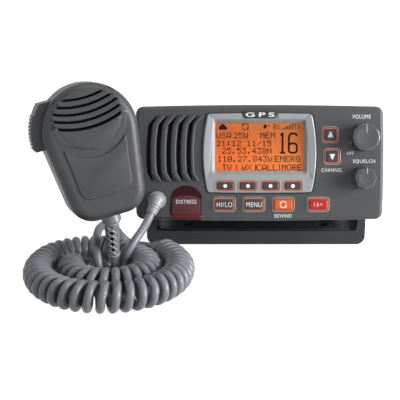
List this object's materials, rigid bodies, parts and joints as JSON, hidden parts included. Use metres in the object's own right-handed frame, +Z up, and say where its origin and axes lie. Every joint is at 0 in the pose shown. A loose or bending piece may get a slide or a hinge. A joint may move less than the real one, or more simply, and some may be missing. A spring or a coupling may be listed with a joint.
{
  "type": "fixed-mount VHF marine radio",
  "caption": "Marine VHF radio on a tilting U-shaped bracket, with display, keys, knobs and a lidded distress key, and a hand microphone with a talk button on a curly cord.",
  "frame": {"origin": "On the underside of the bracket's base, straight below the tilt pivot and half way between the arms", "axes": "+X to the viewer's right along the tilt pivot, -Y out of the face towards the viewer, +Z up"},
  "size_m": [0.2367, 0.221, 0.131],
  "materials": {
    "bracket_plastic": "matte",
    "chassis_casting": "satin",
    "bezel_plastic": "matte",
    "seal_rubber": "matte",
    "screw_steel": "satin",
    "display_silver": "satin",
    "lens_clear": "gloss",
    "lcd_orange": "satin",
    "guide_copper": "satin",
    "sheet_rubber": "matte",
    "board_green": "satin",
    "key_dark": "satin",
    "key_orange": "satin",
    "key_red": "satin",
    "lid_red": "gloss",
    "knob_plastic": "satin",
    "shaft_steel": "satin",
    "control_plastic": "satin",
    "grille_cloth": "matte",
    "speaker_steel": "satin",
    "cone_paper": "matte",
    "gland_rubber": "satin",
    "tin_plate": "satin",
    "patch_ceramic": "matte",
    "socket_chrome": "polished",
    "insert_brass": "satin",
    "clamp_rubber": "matte",
    "mic_plastic": "satin",
    "talk_rubber": "satin",
    "cord_rubber": "satin"
  },
  "bodies": {
    "bracket": {"mounting_bracket": "bracket_plastic", "curly_cord": "cord_rubber", "cord_lead_radio": "cord_rubber", "cord_lead_mic": "cord_rubber"},
    "radio": {"rear_chassis": "chassis_casting", "front_bezel": "bezel_plastic", "bezel_seal": "seal_rubber", "bezel_screws": "screw_steel", "display_frame": "display_silver", "display_lens": "lens_clear", "lcd_module": "lcd_orange", "key_light_guide": "guide_copper", "keypad_sheet": "sheet_rubber", "front_circuit_board": "board_green", "distress_hinge_pin": "shaft_steel", "volume_control": "control_plastic", "squelch_control": "control_plastic", "speaker_cloth": "grille_cloth", "speaker_frame": "speaker_steel", "speaker_cone": "cone_paper", "cord_gland": "gland_rubber", "main_circuit_board": "board_green", "shield_can": "tin_plate", "power_module": "control_plastic", "gps_antenna": "patch_ceramic", "antenna_socket": "socket_chrome", "lead_inlets": "gland_rubber", "pivot_inserts": "insert_brass", "friction_washers": "seal_rubber"},
    "clamp_left": {"clamp_knob_left": "clamp_rubber", "clamp_stud_left": "shaft_steel"},
    "clamp_right": {"clamp_knob_right": "clamp_rubber", "clamp_stud_right": "shaft_steel"},
    "volume": {"volume_knob": "knob_plastic", "volume_shaft": "shaft_steel"},
    "squelch": {"squelch_knob": "knob_plastic", "squelch_shaft": "shaft_steel"},
    "distress_lid": {"distress_cover": "lid_red"},
    "distress_button": {"distress_key": "key_red"},
    "microphone": {"mic_front_shell": "mic_plastic", "mic_back_shell": "mic_plastic", "mic_circuit_board": "board_green", "mic_capsule": "tin_plate", "mic_talk_switch": "control_plastic", "mic_screws": "screw_steel", "mic_hang_stud": "screw_steel", "mic_strain_relief": "cord_rubber"},
    "talk_button": {"mic_talk_button": "talk_rubber"},
    "soft_key_1_body": {"soft_key_1": "key_dark"},
    "soft_key_2_body": {"soft_key_2": "key_dark"},
    "soft_key_3_body": {"soft_key_3": "key_dark"},
    "soft_key_4_body": {"soft_key_4": "key_dark"},
    "hi_lo_key_body": {"hi_lo_key": "key_dark"},
    "menu_key_body": {"menu_key": "key_dark"},
    "rewind_key_body": {"rewind_key": "key_orange"},
    "channel_16_key_body": {"channel_16_key": "key_red"},
    "channel_up_key_body": {"channel_up_key": "key_dark"},
    "channel_down_key_body": {"channel_down_key": "key_dark"}
  },
  "joints": [
    {"name": "tilt", "type": "hinge", "parent": "bracket", "child": "radio", "pos_m": [0, 0, 0.052], "axis": [1, 0, 0], "range_deg": [-12, 8], "deforming": ["cord_lead_radio"]},
    {"name": "clamp_left_turn", "type": "hinge", "parent": "radio", "child": "clamp_left", "pos_m": [-0.081, 0, 0.052], "axis": [-1, 0, 0], "range_deg": [0, 360]},
    {"name": "clamp_right_turn", "type": "hinge", "parent": "radio", "child": "clamp_right", "pos_m": [0.081, 0, 0.052], "axis": [1, 0, 0], "range_deg": [0, 360]},
    {"name": "volume_turn", "type": "hinge", "parent": "radio", "child": "volume", "pos_m": [0.0685, -0.05938, 0.08541], "axis": [0, 0.9659, -0.2588], "range_deg": [-150, 150]},
    {"name": "squelch_turn", "type": "hinge", "parent": "radio", "child": "squelch", "pos_m": [0.0685, -0.06621, 0.05991], "axis": [0, 0.9659, -0.2588], "range_deg": [-150, 150]},
    {"name": "distress_lid_open", "type": "hinge", "parent": "radio", "child": "distress_lid", "pos_m": [-0.0484, -0.06582, 0.03278], "axis": [1, 0, 0], "range_deg": [0, 90], "stiffness_Nm_per_rad": 0.004, "springref_deg": -20.05},
    {"name": "distress_press", "type": "slide", "parent": "radio", "child": "distress_button", "axis": [0, 0.9659, -0.2588], "range_m": [0, 0.0008], "stiffness_N_per_m": 1200, "springref_m": -0.0008},
    {"name": "mic_turn", "type": "hinge", "parent": "bracket", "child": "microphone", "pos_m": [-0.0942, -0.097, 0.017], "axis": [-0.013, -0.2611, 0.9652], "range_deg": [-45, 45]},
    {"name": "talk_press", "type": "slide", "parent": "microphone", "child": "talk_button", "axis": [0.9303, 0.309, 0.1977], "range_m": [0, 0.002], "stiffness_N_per_m": 700, "springref_m": -0.001},
    {"name": "soft_key_1_press", "type": "slide", "parent": "radio", "child": "soft_key_1_body", "axis": [0, 0.9659, -0.2588], "range_m": [0, 0.0008], "stiffness_N_per_m": 1200, "springref_m": -0.0008},
    {"name": "soft_key_2_press", "type": "slide", "parent": "radio", "child": "soft_key_2_body", "axis": [0, 0.9659, -0.2588], "range_m": [0, 0.0008], "stiffness_N_per_m": 1200, "springref_m": -0.0008},
    {"name": "soft_key_3_press", "type": "slide", "parent": "radio", "child": "soft_key_3_body", "axis": [0, 0.9659, -0.2588], "range_m": [0, 0.0008], "stiffness_N_per_m": 1200, "springref_m": -0.0008},
    {"name": "soft_key_4_press", "type": "slide", "parent": "radio", "child": "soft_key_4_body", "axis": [0, 0.9659, -0.2588], "range_m": [0, 0.0008], "stiffness_N_per_m": 1200, "springref_m": -0.0008},
    {"name": "hi_lo_key_press", "type": "slide", "parent": "radio", "child": "hi_lo_key_body", "axis": [0, 0.9659, -0.2588], "range_m": [0, 0.0008], "stiffness_N_per_m": 1200, "springref_m": -0.0008},
    {"name": "menu_key_press", "type": "slide", "parent": "radio", "child": "menu_key_body", "axis": [0, 0.9659, -0.2588], "range_m": [0, 0.0008], "stiffness_N_per_m": 1200, "springref_m": -0.0008},
    {"name": "rewind_key_press", "type": "slide", "parent": "radio", "child": "rewind_key_body", "axis": [0, 0.9659, -0.2588], "range_m": [0, 0.0008], "stiffness_N_per_m": 1200, "springref_m": -0.0008},
    {"name": "channel_16_key_press", "type": "slide", "parent": "radio", "child": "channel_16_key_body", "axis": [0, 0.9659, -0.2588], "range_m": [0, 0.0008], "stiffness_N_per_m": 1200, "springref_m": -0.0008},
    {"name": "channel_up_key_press", "type": "slide", "parent": "radio", "child": "channel_up_key_body", "axis": [0, 0.9659, -0.2588], "range_m": [0, 0.0008], "stiffness_N_per_m": 1200, "springref_m": -0.0008},
    {"name": "channel_down_key_press", "type": "slide", "parent": "radio", "child": "channel_down_key_body", "axis": [0, 0.9659, -0.2588], "range_m": [0, 0.0008], "stiffness_N_per_m": 1200, "springref_m": -0.0008}
  ]
}
